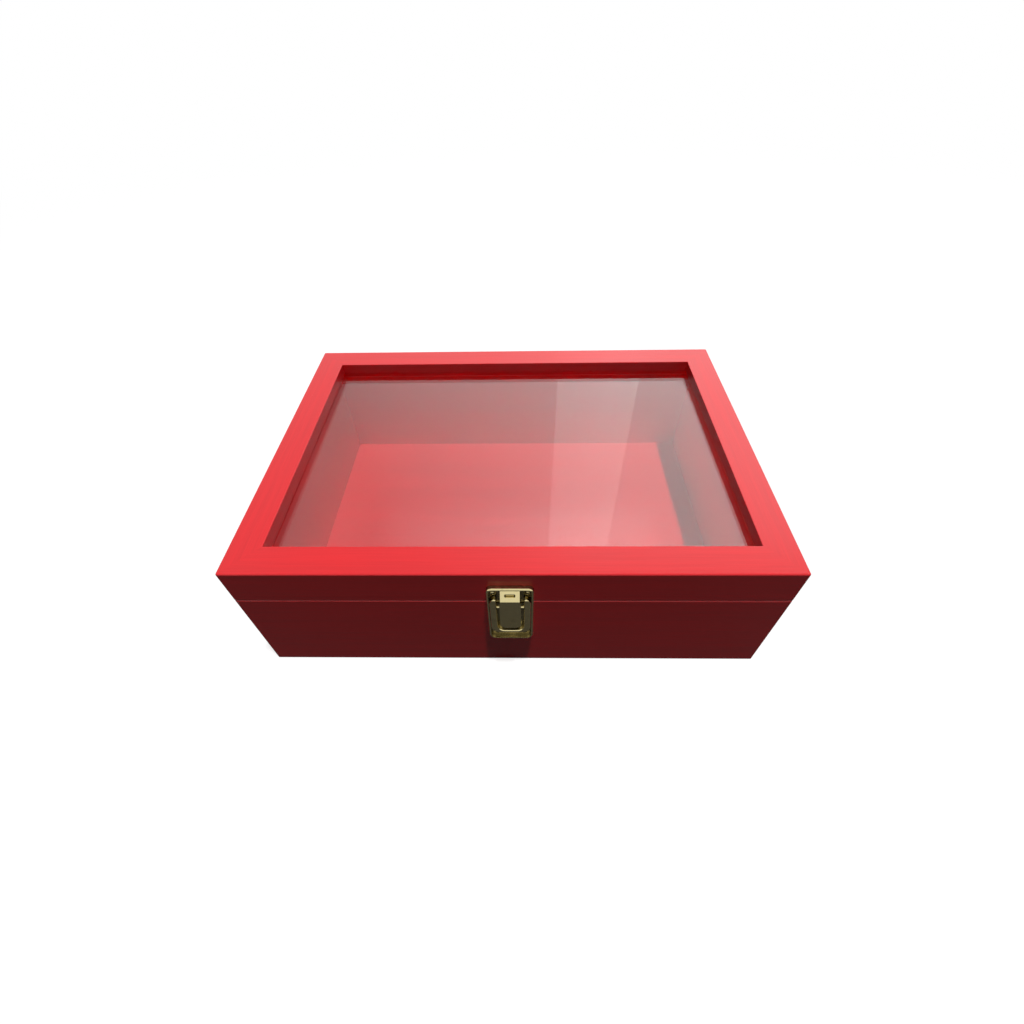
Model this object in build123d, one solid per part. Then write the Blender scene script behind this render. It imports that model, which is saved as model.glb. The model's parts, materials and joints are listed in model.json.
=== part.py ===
from build123d import *
import math
import os

# Wooden box with a glazed lid. Millimetres, +X to the right, +Y to the back, +Z up.
# The origin is the centre of the underside.

# Case
box_width = 315.0
box_depth = 225.0
box_height = 95.0
lid_height = 25.0
wall_thickness = 10.0
corner_round = 1.2
top_edge_round = 0.9
seam_gap = 0.4
seam_chamfer = 0.5

# Bottom panel
panel_thickness = 3.0
panel_rebate = 5.0
panel_clearance = 0.2

# Lid frame, pane and beads
rail_width = 19.3
rail_thickness = 7.5
rail_edge_round = 0.4
pane_thickness = 3.0
pane_clearance = 0.3
bead_width = 7.0
bead_height = 5.0
bead_round = 2.5

# Lid travel and the bevelled back seam
lid_travel_deg = 95.0
stop_allowance_deg = 1.0
bevel_depth = 3.0

# Hinges
hinge_length = 25.0
hinge_setback = 60.0
leaf_thickness = 0.8
leaf_reach = 6.8
leaf_gap = 0.2
knuckle_radius = 1.7
hinge_pin_radius = 0.8
hinge_bore_clearance = 0.05
hinge_pin_fit = 0.02
knuckle_end_gap = 0.2
knuckle_room = 0.3
hinge_pin_head_radius = 1.2
hinge_pin_head_length = 0.5
hinge_screw_spacing = 15.0
hinge_screw_inset = 3.1
pocket_clearance = 0.1

# Latch plates, their heights measured from the seam
latch_width = 26.3
latch_below_seam = 38.0
sheet = 0.8
rim_height = 3.0
rim_thickness = 1.2
rim_round = 1.0
strike_corner_radius = 3.5
plate_corner_radius = 4.6

# Strike plate details
nib_above_seam = 10.2
nib_width = 4.6
nib_thickness = 1.0
nib_reach = 3.3
nib_to_plate_top = 5.1
pip_offset = 6.6
pip_above_nib = 1.2
pip_radius = 0.7
pip_rise = 0.7

# Lever pin and spring
latch_pin_below_seam = 2.5
latch_pin_out = 2.5
latch_pin_radius = 0.8
latch_pin_clearance = 0.05
latch_pin_stand_out = 0.4
spring_wire_radius = 0.2
spring_wire_sides = 6
spring_coil_clearance = 0.15
spring_turns = 4
spring_pitch = 0.95
spring_fixed_leg = 9.0
spring_free_leg = 13.0

# Lever, its heights measured from the pin and from the nib
lever_half_width = 6.0
tongue_half_width = 5.4
pad_length = 17.5
pad_end_out = 6.0
crease_below_pin = 6.5
crease_out = 5.2
shoulder_below_nib = 3.6
shoulder_out = 5.6
shoulder_chamfer = 3.0
tongue_above_nib = 2.8
tongue_end_out = 1.9
lever_bend_radius = 1.0
pad_corner_radius = 3.8
ear_height = 7.0
ear_overlap = 0.4
ear_clearance = 0.3
lever_travel_deg = 11.0
slot_side_clearance = 0.7
slot_height_clearance = 0.35

# Shield of the lower plate
shield_height = 4.2
shield_side_gap = 0.35
shield_above_seam = 8.0
shield_below_window = 2.2
shield_corner_radius = 6.0
shield_tip_round = 1.2
shield_edge_round = 0.9
window_side_gap = 1.6
window_end_gap = 6.4
window_corner_radius = 4.2
overhang_clearance = 0.35

# Screws
strike_screw_inset = 2.2
strike_screw_below_nib = 0.6
strike_screw_head_radius = 1.65
strike_screw_head_rise = 1.1
plate_screw_inset = 3.75
plate_screw_to_rim = 4.0
plate_screw_head_radius = 1.4
plate_screw_head_rise = 0.7
latch_screw_edge_share = 0.4
latch_screw_crown_share = 0.6
latch_screw_shank_radius = 1.0
latch_screw_length = 7.5
hinge_screw_head_radius = 1.35
hinge_screw_shank_radius = 0.7
hinge_screw_length = 7.0
screw_hole_clearance = 0.03
screw_shank_sides = 8
screw_point_share = 0.2
screw_slot_width = 0.45
screw_slot_depth = 0.45

# Derived places
seam = box_height - lid_height
base_top = seam - seam_gap
pane_top = box_height - rail_thickness
pane_bottom = pane_top - pane_thickness
bead_bottom = pane_bottom - bead_height
inner_width = box_width - 2 * wall_thickness
inner_depth = box_depth - 2 * wall_thickness
hinge_axis_y = box_depth / 2 - bevel_depth
hinge_axis_z = seam - seam_gap / 2
bevel_half_angle = (lid_travel_deg + stop_allowance_deg) / 2
hinge_from_middle = box_width / 2 - hinge_setback
hinge_places = {"left": -hinge_from_middle, "right": hinge_from_middle}
nib_height = seam + nib_above_seam
latch_top = nib_height + nib_to_plate_top
latch_bottom = seam - latch_below_seam
latch_pin_height = seam - latch_pin_below_seam
pad_end = latch_pin_height - pad_length
crease = latch_pin_height - crease_below_pin
shoulder = nib_height - shoulder_below_nib
tongue_end = nib_height + tongue_above_nib
window_half_width = lever_half_width + window_side_gap
window_bottom = pad_end - window_end_gap
shield_top = base_top + shield_above_seam
shield_bottom = window_bottom - shield_below_window
slot_width = nib_width + 2 * slot_side_clearance
slot_height = nib_thickness + 2 * slot_height_clearance
strike_screw_offset = latch_width / 2 - rim_thickness - strike_screw_inset
strike_screw_height = nib_height - strike_screw_below_nib
plate_screw_offset = latch_width / 2 - rim_thickness - plate_screw_inset
plate_screw_height = latch_bottom + rim_thickness + plate_screw_to_rim
spring_coil_radius = latch_pin_radius + spring_coil_clearance + spring_wire_radius
big = box_width

front_face = Plane(origin=(0, -box_depth / 2, 0), x_dir=(1, 0, 0), z_dir=(0, -1, 0))
side_section = Plane(origin=(0, -box_depth / 2, 0), x_dir=(0, -1, 0), z_dir=(-1, 0, 0))

parts = {}


def block(x_range, y_range, z_range):
    """A plain box from its low and high sides."""
    sizes = [high - low for low, high in (x_range, y_range, z_range)]
    middle = [(low + high) / 2 for low, high in (x_range, y_range, z_range)]
    return Pos(*middle) * Box(*sizes)


def rounded_block(width, depth, low, high, radius):
    """A block with rounded upright corners, centred on the Z axis."""
    return Pos(0, 0, low) * extrude(RectangleRounded(width, depth, radius), high - low)


def hollow(width, depth, low, high):
    """The clear space inside a frame, a little past both of its faces."""
    return block((-width / 2, width / 2), (-depth / 2, depth / 2), (low, high))


def mitre_wedges(reach):
    """Four upright prisms that meet on the corner diagonals, one for each side."""
    out = 5.0
    x_out = box_width / 2 + out
    y_out = box_depth / 2 + out
    x_in = box_width / 2 - reach
    y_in = box_depth / 2 - reach
    outlines = {
        "front": [(-x_out, -y_out), (x_out, -y_out), (x_in, -y_in), (-x_in, -y_in)],
        "right": [(x_out, -y_out), (x_out, y_out), (x_in, y_in), (x_in, -y_in)],
        "back": [(x_out, y_out), (-x_out, y_out), (-x_in, y_in), (x_in, y_in)],
        "left": [(-x_out, y_out), (-x_out, -y_out), (-x_in, -y_in), (-x_in, y_in)],
    }
    return {side: extrude(make_face(Polyline(*points, close=True)), box_height)
            for side, points in outlines.items()}


def split_in_four(frame, prefix, suffix, reach):
    """Cut a closed frame on its mitres and keep each side as a piece of its own."""
    for side, wedge in mitre_wedges(reach).items():
        parts[f"{prefix}_{side}_{suffix}"] = frame & wedge


def back_bevel():
    """The V groove along the back of the seam, from the hinge axis outwards."""
    deep = bevel_depth + 2.0
    rise = deep * math.tan(math.radians(bevel_half_angle))
    low = hinge_axis_z - seam_gap / 2
    high = hinge_axis_z + seam_gap / 2
    points = [
        (hinge_axis_y, low),
        (hinge_axis_y + deep, low - rise),
        (hinge_axis_y + deep, high + rise),
        (hinge_axis_y, high),
    ]
    section = Plane.YZ * make_face(Polyline(*points, close=True))
    return extrude(section, box_width, both=True)


def hinge_pockets():
    """The pockets that take the leaves and the room for the knuckles."""
    tool = None
    half = hinge_length / 2 + pocket_clearance
    room = knuckle_radius + knuckle_room
    deep = leaf_thickness + leaf_gap / 2 + pocket_clearance / 2
    for x in hinge_places.values():
        sides = (x - half, x + half)
        leaf_end = hinge_axis_y - leaf_reach - pocket_clearance
        pocket = block(sides, (leaf_end, hinge_axis_y), (hinge_axis_z - deep, hinge_axis_z + deep))
        end_room = hinge_pin_head_length + pocket_clearance
        barrel = Pos(x, hinge_axis_y, hinge_axis_z) * (
            Rot(0, 90, 0) * Cylinder(room, hinge_length + 2 * end_room + 2 * pocket_clearance))
        tool = pocket + barrel if tool is None else tool + pocket + barrel
    return tool


def hinge_screw_places():
    """Centre of each hinge screw in plan."""
    y = hinge_axis_y - leaf_reach + hinge_screw_inset
    return [(x + side * hinge_screw_spacing / 2, y)
            for x in hinge_places.values() for side in (-1, 1)]


def hinge_screw_holes():
    """Pilot holes for the hinge screws, up into the lid and down into the base."""
    radius = hinge_screw_shank_radius + screw_hole_clearance
    holes = [Pos(x, y, hinge_axis_z) * Cylinder(radius, 2 * (hinge_screw_length + 0.5))
             for x, y in hinge_screw_places()]
    return Compound(children=holes)


def latch_screw_holes(offset, height):
    """Pilot holes for the two screws of a latch plate."""
    radius = latch_screw_shank_radius + screw_hole_clearance
    holes = [front_face * Pos(side * offset, height) * Cylinder(radius, 2 * latch_screw_length + 1)
             for side in (-1, 1)]
    return Compound(children=holes)


def make_base():
    """Four mitred walls with a rebate underneath, and the panel that lies in it."""
    walls = rounded_block(box_width, box_depth, 0, base_top, corner_round)
    top_edges = walls.faces().sort_by(Axis.Z)[-1].edges()
    walls = chamfer(top_edges, seam_chamfer)
    walls -= hollow(inner_width, inner_depth, -1, box_height)
    panel_width = inner_width + 2 * panel_rebate
    panel_depth = inner_depth + 2 * panel_rebate
    walls -= hollow(panel_width, panel_depth, -1, panel_thickness)
    walls -= back_bevel()
    walls -= hinge_pockets()
    for hole in hinge_screw_holes().solids():
        walls -= hole
    for hole in latch_screw_holes(plate_screw_offset, plate_screw_height).solids():
        walls -= hole
    split_in_four(walls, "base", "board", wall_thickness + 1)
    loose = 2 * panel_clearance
    parts["bottom_panel"] = hollow(panel_width - loose, panel_depth - loose, 0, panel_thickness)


def make_lid():
    """Side boards, the mitred top frame, the pane under it and the beads below the pane."""
    boards = rounded_block(box_width, box_depth, seam, pane_top, corner_round)
    bottom_edges = boards.faces().sort_by(Axis.Z)[0].edges()
    boards = chamfer(bottom_edges, seam_chamfer)
    boards -= hollow(inner_width, inner_depth, seam - 1, box_height)
    boards -= back_bevel()
    boards -= hinge_pockets()
    for hole in hinge_screw_holes().solids():
        boards -= hole
    for hole in latch_screw_holes(strike_screw_offset, strike_screw_height).solids():
        boards -= hole
    split_in_four(boards, "lid", "board", wall_thickness + 1)

    top = rounded_block(box_width, box_depth, pane_top, box_height, corner_round)
    top = fillet(top.faces().sort_by(Axis.Z)[-1].edges(), top_edge_round)
    window_width = box_width - 2 * rail_width
    window_depth = box_depth - 2 * rail_width
    opening = hollow(window_width, window_depth, pane_top - 1, box_height + 1)
    top -= opening
    rim_edges = top.faces().sort_by(Axis.Z)[-1].inner_wires()[0].edges()
    top = fillet(rim_edges, rail_edge_round)
    split_in_four(top, "top", "rail", rail_width + 1)

    pane_width = inner_width - 2 * pane_clearance
    pane_depth = inner_depth - 2 * pane_clearance
    parts["glass_pane"] = hollow(pane_width, pane_depth, pane_bottom, pane_top)

    ring = hollow(inner_width, inner_depth, bead_bottom, pane_bottom)
    ring -= hollow(inner_width - 2 * bead_width, inner_depth - 2 * bead_width,
                   bead_bottom - 1, pane_bottom + 1)
    lower_edges = ring.faces().sort_by(Axis.Z)[0].inner_wires()[0].edges()
    ring = fillet(lower_edges, bead_round)
    for side, wedge in mitre_wedges(wall_thickness + bead_width + 1).items():
        parts[f"bead_{side}"] = ring & wedge


def knuckle_spans():
    """Three knuckles along the barrel: the outer two on the base leaf, the middle on the lid's."""
    length = (hinge_length - 2 * knuckle_end_gap) / 3
    starts = [index * (length + knuckle_end_gap) - hinge_length / 2 for index in range(3)]
    spans = [(start, start + length) for start in starts]
    return {"base": [spans[0], spans[2]], "lid": [spans[1]]}


def hinge_leaf(side, x, owner):
    """One leaf with its own knuckles, its notches for the other leaf's, and its screw holes."""
    up = 1 if owner == "lid" else -1
    near = hinge_axis_z + up * leaf_gap / 2
    far = near + up * leaf_thickness
    z_range = (min(near, far), max(near, far))
    plate_end = hinge_axis_y - leaf_reach
    notch_end = hinge_axis_y - knuckle_radius - knuckle_room
    leaf = block((x - hinge_length / 2, x + hinge_length / 2), (plate_end, notch_end), z_range)
    fit = hinge_bore_clearance if owner == "lid" else hinge_pin_fit
    bore = hinge_pin_radius + fit
    for low, high in knuckle_spans()[owner]:
        middle = x + (low + high) / 2
        leaf += block((x + low, x + high), (notch_end - 1, hinge_axis_y), z_range)
        leaf += Pos(middle, hinge_axis_y, hinge_axis_z) * (
            Rot(0, 90, 0) * Cylinder(knuckle_radius, high - low))
    leaf -= Pos(x, hinge_axis_y, hinge_axis_z) * (Rot(0, 90, 0) * Cylinder(bore, 2 * hinge_length))
    for place_x, place_y in hinge_screw_places():
        if abs(place_x - x) < hinge_length / 2:
            sink = countersunk_hole()
            leaf -= Pos(place_x, place_y, near) * (sink if up < 0 else Rot(180, 0, 0) * sink)
    parts[f"hinge_{side}_{owner}_leaf"] = leaf


def countersunk_hole():
    """The countersunk hole for a small wood screw that points down, its mouth at zero."""
    head = hinge_screw_head_radius + screw_hole_clearance
    shank = hinge_screw_shank_radius + screw_hole_clearance
    outline = Polyline((0, 0), (head, 0), (shank, shank - head), (shank, -hinge_screw_length),
                       (0, -hinge_screw_length), close=True)
    return revolve(Plane.XZ * make_face(outline), Axis.Z)


def screw_shank(radius, length):
    """A flat-sided wood-screw shank from zero down to its point."""
    straight = length - 2 * radius
    section = RegularPolygon(radius, screw_shank_sides)
    point = RegularPolygon(radius * screw_point_share, screw_shank_sides)
    tip = loft([Pos(0, 0, -straight) * section, Pos(0, 0, -length) * point], ruled=True)
    return extrude(section, -straight) + tip


def countersunk_screw():
    """A small countersunk wood screw that points down, its head's face at zero."""
    sink = hinge_screw_head_radius - hinge_screw_shank_radius
    head = Cone(hinge_screw_shank_radius, hinge_screw_head_radius, sink)
    return Pos(0, 0, -sink / 2) * head + screw_shank(hinge_screw_shank_radius, hinge_screw_length)


def make_hinges():
    """Two butt hinges let into the back seam, each with its pin and four screws."""
    for side, x in hinge_places.items():
        hinge_leaf(side, x, "base")
        hinge_leaf(side, x, "lid")
        pin = Cylinder(hinge_pin_radius, hinge_length + 2 * hinge_pin_head_length)
        for end in (-1, 1):
            shift = end * (hinge_length + hinge_pin_head_length + pocket_clearance) / 2
            head = Cylinder(hinge_pin_head_radius, hinge_pin_head_length - pocket_clearance)
            pin += Pos(0, 0, shift) * head
        parts[f"hinge_{side}_pin"] = Pos(x, hinge_axis_y, hinge_axis_z) * (Rot(0, 90, 0) * pin)
    down = [Pos(x, y, hinge_axis_z - leaf_gap / 2) * countersunk_screw()
            for x, y in hinge_screw_places()]
    up = [Pos(x, y, hinge_axis_z + leaf_gap / 2) * Rot(180, 0, 0) * countersunk_screw()
          for x, y in hinge_screw_places()]
    parts["hinge_base_screws"] = Compound(children=down)
    parts["hinge_lid_screws"] = Compound(children=up)


def domed_screws(offset, height, chord, rise):
    """Two round-head wood screws through a latch plate, heads outwards."""
    slope_end = rise * latch_screw_edge_share
    flat = chord * latch_screw_crown_share
    outline = Polyline((0, rise), (0, 0), (chord, 0), (chord, slope_end), (flat, rise), close=True)
    screw = revolve(Plane.XZ * make_face(outline), Axis.Z)
    screw += screw_shank(latch_screw_shank_radius, latch_screw_length)
    screw -= Pos(0, 0, rise) * Box(4 * chord, screw_slot_width, 2 * screw_slot_depth)
    turns = {-1: 35, 1: -20}
    places = [front_face * Pos(side * offset, height, sheet) * Rot(0, 0, turns[side]) * screw
              for side in (-1, 1)]
    return Compound(children=places)


def tray(outline, open_edge):
    """A shallow stamped tray: a flat field with a rounded rim on all sides but one."""
    inner = offset(outline, -rim_thickness, kind=Kind.ARC)
    body = extrude(outline, rim_height)
    rim_edges = [edge for edge in body.faces().sort_by(Axis.Z)[-1].edges()
                 if abs(edge.center().Y - open_edge) > rim_thickness]
    body = fillet(rim_edges, rim_round)
    body -= Pos(0, 0, sheet) * extrude(inner, rim_height)
    body -= Pos(0, open_edge, sheet) * extrude(Rectangle(latch_width - 2 * rim_thickness,
                                                         4 * rim_thickness), rim_height)
    return body


def plate_outline(low, high, radius, rounded_low):
    """The front outline of a latch half, with two of its corners rounded."""
    sketch = Pos(0, (low + high) / 2) * Rectangle(latch_width, high - low)
    row = sketch.vertices().sort_by(Axis.Y)
    return fillet(row[:2] if rounded_low else row[-2:], radius)


def shield_outline():
    """The raised shield: rounded below, with two shoulders that curve up to the window."""
    side = latch_width / 2 - rim_thickness - shield_side_gap
    inner = window_half_width
    spring_line = base_top
    shoulder_mid_x = inner + (side - inner) * math.sqrt(0.5)
    shoulder_mid_y = spring_line + (shield_top - spring_line) * math.sqrt(0.5)
    right = ThreePointArc((side, spring_line), (shoulder_mid_x, shoulder_mid_y),
                          (inner, shield_top))
    left = ThreePointArc((-inner, shield_top), (-shoulder_mid_x, shoulder_mid_y),
                         (-side, spring_line))
    rest = Polyline((-side, spring_line), (-side, shield_bottom), (side, shield_bottom),
                    (side, spring_line))
    sketch = make_face(right + Line((inner, shield_top), (-inner, shield_top)) + left + rest)
    return fillet(sketch.vertices().sort_by(Axis.Y)[:2], shield_corner_radius)


def window_outline(top, extra):
    """The window in the shield, open at the top and round in its lower corners."""
    half = window_half_width + extra
    low = window_bottom - extra
    sketch = Pos(0, (low + top) / 2) * Rectangle(2 * half, top - low)
    return fillet(sketch.vertices().sort_by(Axis.Y)[:2], window_corner_radius + extra)


def make_latch_plate():
    """Lower plate: tray, hollow shield with its window, pin holes and screw holes."""
    outline = plate_outline(latch_bottom, base_top, plate_corner_radius, True)
    plate = tray(outline, base_top)
    shield = shield_outline()
    above = shield_top + shield_height
    front = shield - window_outline(above, 0)
    front = fillet(front.vertices().sort_by(Axis.Y)[-2:], shield_tip_round)
    raised = extrude(front, shield_height)
    raised = fillet(raised.faces().sort_by(Axis.Z)[-1].edges(), shield_edge_round)
    plate += raised
    overhang = Rectangle(latch_width + 1, shield_above_seam + 1, align=(Align.CENTER, Align.MIN))
    plate -= Pos(0, base_top) * extrude(overhang, sheet + overhang_clearance)
    hollow_outline = offset(shield, -sheet, kind=Kind.ARC) - window_outline(above, sheet)
    plate -= extrude(hollow_outline, shield_height - sheet)
    plate -= (Pos(0, latch_pin_height, latch_pin_out) * Rot(0, 90, 0)
              * Cylinder(latch_pin_radius + hinge_pin_fit, 2 * (window_half_width + 2 * sheet)))
    for side in (-1, 1):
        hole = Cylinder(latch_screw_shank_radius + screw_hole_clearance, big)
        plate -= Pos(side * plate_screw_offset, plate_screw_height) * hole
    parts["latch_plate"] = front_face * plate
    parts["latch_plate_screws"] = domed_screws(plate_screw_offset, plate_screw_height,
                                               plate_screw_head_radius, plate_screw_head_rise)


def make_strike_plate():
    """Upper plate: tray open at the seam, the nib that the lever holds, and two guide pips."""
    outline = plate_outline(seam, latch_top, strike_corner_radius, False)
    plate = tray(outline, seam)
    nib = RectangleRounded(nib_width, nib_thickness, nib_thickness * 0.3)
    plate += Pos(0, nib_height) * extrude(nib, nib_reach)
    pip = Circle(pip_radius)
    for side in (-1, 1):
        plate += Pos(side * pip_offset, nib_height + pip_above_nib) * extrude(pip, sheet + pip_rise)
        hole = Cylinder(latch_screw_shank_radius + screw_hole_clearance, big)
        plate -= Pos(side * strike_screw_offset, strike_screw_height) * hole
    parts["strike_plate"] = front_face * plate
    parts["strike_plate_screws"] = domed_screws(strike_screw_offset, strike_screw_height,
                                                strike_screw_head_radius, strike_screw_head_rise)


def lever_sheet():
    """The lever's bent sheet, full width, from its side profile."""
    half = sheet / 2
    middle = FilletPolyline((pad_end_out - half, pad_end - 2),
                            (crease_out - half, crease),
                            (shoulder_out - half, shoulder),
                            (tongue_end_out - half, tongue_end), radius=lever_bend_radius)
    profile = side_section * trace(middle, sheet)
    return extrude(profile, lever_half_width, both=True)


def lever_outline():
    """The lever seen from the front: round at the pad's end, narrowed to the tongue above."""
    wide = lever_half_width
    narrow = tongue_half_width
    chamfer_start = shoulder - shoulder_chamfer
    top = tongue_end + 2
    points = [(-wide, pad_end), (wide, pad_end), (wide, chamfer_start), (narrow, shoulder),
              (narrow, top), (-narrow, top), (-narrow, shoulder), (-wide, chamfer_start)]
    sketch = make_face(Polyline(*points, close=True))
    return fillet(sketch.vertices().sort_by(Axis.Y)[:2], pad_corner_radius)


def lever_ears():
    """Two ears that reach in from the sheet and turn on the pin."""
    lug = latch_pin_out - sheet - ear_clearance
    ear_root_out = min(crease_out, shoulder_out) - sheet + ear_overlap
    root = Pos((ear_root_out + latch_pin_out) / 2, latch_pin_height) * Rectangle(
        ear_root_out - latch_pin_out, ear_height)
    ear = root + Pos(latch_pin_out, latch_pin_height) * Circle(lug)
    ear -= Pos(latch_pin_out, latch_pin_height) * Circle(latch_pin_radius + latch_pin_clearance)
    solid = extrude(side_section * ear, sheet)
    return Pos(lever_half_width, 0, 0) * solid + Pos(sheet - lever_half_width, 0, 0) * solid


def make_latch_lever():
    """Rocking lever: press pad below the pin, slotted tongue above it."""
    lever = lever_sheet() & (front_face * extrude(lever_outline(), big))
    lever += lever_ears()
    slot = Pos(0, nib_height) * RectangleRounded(slot_width, slot_height, slot_height * 0.3)
    lever -= front_face * Pos(0, 0, sheet) * extrude(slot, big)
    parts["latch_lever"] = lever


def make_latch_pin():
    """Pin across the window, staked in the cheeks of the shield."""
    pin = Cylinder(latch_pin_radius, 2 * (window_half_width + sheet + latch_pin_stand_out))
    parts["latch_pin"] = front_face * Pos(0, latch_pin_height, latch_pin_out) * Rot(0, 90, 0) * pin


def make_latch_spring():
    """Torsion spring round the pin: one leg on the plate, the other behind the press pad."""
    turns = spring_turns + 0.5
    length = turns * spring_pitch
    coil = Helix(pitch=spring_pitch, height=length, radius=spring_coil_radius)
    start_run = coil.tangent_at(0) * -spring_fixed_leg
    end_run = coil.tangent_at(1) * spring_free_leg
    start = coil.position_at(0)
    end = coil.position_at(1)
    path = Wire([Line(start + start_run, start).edge(), coil.edge(),
                 Line(end, end + end_run).edge()])
    section = Plane(origin=path.position_at(0), z_dir=path.tangent_at(0)) * RegularPolygon(
        spring_wire_radius, spring_wire_sides)
    spring = sweep(section, path=path, is_frenet=True)
    middle = Pos(0, 0, -length / 2)
    parts["latch_spring"] = (front_face * Pos(0, latch_pin_height, latch_pin_out)
                             * Rot(0, 90, 0) * middle * spring)
    return coil


def least_gap(coil):
    """Smallest clear distance between one curl of the spring and the next, on points."""
    samples = 90
    total = int(samples * (spring_turns + 0.5))
    points = [coil.position_at(index / total) for index in range(total + 1)]
    least = min((points[first] - points[second]).length
                for first in range(total + 1)
                for second in range(first + samples // 2, total + 1))
    return least - 2 * spring_wire_radius


def main():
    make_base()
    make_lid()
    make_hinges()
    make_latch_plate()
    make_strike_plate()
    make_latch_lever()
    make_latch_pin()
    coil = make_latch_spring()
    print(f"latch spring, least gap to itself: {least_gap(coil):.2f} mm")
    os.makedirs("parts", exist_ok=True)
    for name, shape in parts.items():
        export_step(shape, f"parts/{name}.step")


main()
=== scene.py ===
import json
import math

import bmesh
import bpy
from bpy.props import FloatProperty, FloatVectorProperty, IntProperty, PointerProperty
from mathutils import Matrix, Vector

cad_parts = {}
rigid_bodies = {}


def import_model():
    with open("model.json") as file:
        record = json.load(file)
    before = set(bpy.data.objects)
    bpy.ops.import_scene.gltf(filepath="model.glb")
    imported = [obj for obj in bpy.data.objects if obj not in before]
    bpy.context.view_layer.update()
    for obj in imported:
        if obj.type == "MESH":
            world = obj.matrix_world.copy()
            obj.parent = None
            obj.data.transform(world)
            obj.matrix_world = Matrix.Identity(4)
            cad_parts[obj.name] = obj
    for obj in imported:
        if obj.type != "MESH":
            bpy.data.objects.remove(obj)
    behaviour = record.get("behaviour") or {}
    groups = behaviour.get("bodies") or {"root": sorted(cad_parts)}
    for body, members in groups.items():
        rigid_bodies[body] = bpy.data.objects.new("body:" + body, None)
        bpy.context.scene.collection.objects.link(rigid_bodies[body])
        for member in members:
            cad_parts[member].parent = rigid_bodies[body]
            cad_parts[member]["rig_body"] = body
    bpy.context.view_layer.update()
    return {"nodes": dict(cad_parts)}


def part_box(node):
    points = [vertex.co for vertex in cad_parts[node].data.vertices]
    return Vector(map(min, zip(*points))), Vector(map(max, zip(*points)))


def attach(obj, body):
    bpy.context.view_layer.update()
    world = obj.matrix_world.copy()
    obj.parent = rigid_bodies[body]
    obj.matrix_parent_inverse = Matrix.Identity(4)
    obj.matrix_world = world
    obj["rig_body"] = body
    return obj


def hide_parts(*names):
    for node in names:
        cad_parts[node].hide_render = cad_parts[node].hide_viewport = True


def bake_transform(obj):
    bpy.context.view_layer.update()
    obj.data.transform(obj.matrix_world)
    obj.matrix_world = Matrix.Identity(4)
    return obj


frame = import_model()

bl_info = {
    "name": "Glazed lid display box",
    "version": (1, 0, 0),
    "blender": (4, 5, 0),
    "location": "3D View > Sidebar > Display Box",
    "description": "Paint, glass, latch, hinges and screws for a wooden box with a glazed lid",
    "category": "Object",
}

MM = 0.001
WHITE = (1.0, 1.0, 1.0, 1.0)
BLACK = (0.0, 0.0, 0.0, 1.0)

# Cleaning, rounding and shading of meshes
MERGE_DISTANCE = 1e-6
FLAT_ANGLE = math.radians(0.8)
HARD_EDGE = math.radians(32)
WIRE_END_EDGE = math.radians(50)
EDGE_SEGMENTS = 3

# The places that the finishes and screws are worked out from
FRONT_FACE_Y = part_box("base_front_board")[0].y
PIN_LOW, PIN_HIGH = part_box("latch_pin")
PIN_CENTRE = (PIN_LOW + PIN_HIGH) / 2
OUT_OF_FRONT = Vector((0, -1, 0))
UP = Vector((0, 0, 1))
DOWN = Vector((0, 0, -1))

ALONG_X = ("base_front_board", "base_back_board", "lid_front_board", "lid_back_board",
           "top_front_rail", "top_back_rail", "bead_front", "bead_back")
ALONG_Y = ("base_left_board", "base_right_board", "lid_left_board", "lid_right_board",
           "top_left_rail", "top_right_rail", "bead_left", "bead_right")

# The slots of the latch screws and hinge screws, from left to right
LOWER_SLOT_TURNS = (-0.61, 0.35)
UPPER_SLOT_TURNS = (0.44, -0.87)
FIRST_HINGE_SLOT_TURN = 20
NEXT_HINGE_SLOT_TURN = 47

# Shares of a screw's own sizes
DOME_FULLNESS = 0.8
THREADED_SHARE = 0.7
POINT_IN_SHANK_RADII = 2.0
HINGE_SHANK_IN_HEAD = 0.52
HINGE_SLOT_WIDTH_SHARE = 0.7
HINGE_SLOT_DEPTH_SHARE = 0.6

# Steps round and along the turned shapes
DOME_RINGS = 20
SHANK_SIDES = 16
THREAD_SIDES = 3
THREAD_STEPS = 12
WIRE_SIDES = 10
COIL_STEPS = 32

# The lamp overhead, far away and small, so that its shadows stay sharp
LAMP_TARGET = Vector((0, 0, 0.05))
TOP_LAMP_PLACE = Vector((0.54, -0.56, 6.0))
TOP_LAMP_SIDE = 0.24

# The two panels behind the box that the glass mirrors
PANEL_BEHIND = 1.05
PANEL_MIDDLE_HEIGHT = 1.0
PANEL_TALL = 1.3
WIDE_PANEL_LEFT = -0.56
WIDE_PANEL_FULL = 0.35
WIDE_PANEL_RIGHT = 1.6
WIDE_PANEL_CLIMB = 0.45
PLAIN_SHARE_OF_HEIGHT = 0.3
NARROW_PANEL_X = 0.23
NARROW_PANEL_WIDTH = 0.24
NARROW_PANEL_IN_FRONT = 0.02

# The floor and the camera
FLOOR_BELOW_BOX = 0.0004
WORN_FLOOR = (0.19, 0.19, 0.19, 1.0)
SHADOW_KEPT_SHARE = 0.4
SENSOR_WIDTH_MM = 36.0
NEAREST_SEEN = 0.01


# Expressions on sockets


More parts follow.
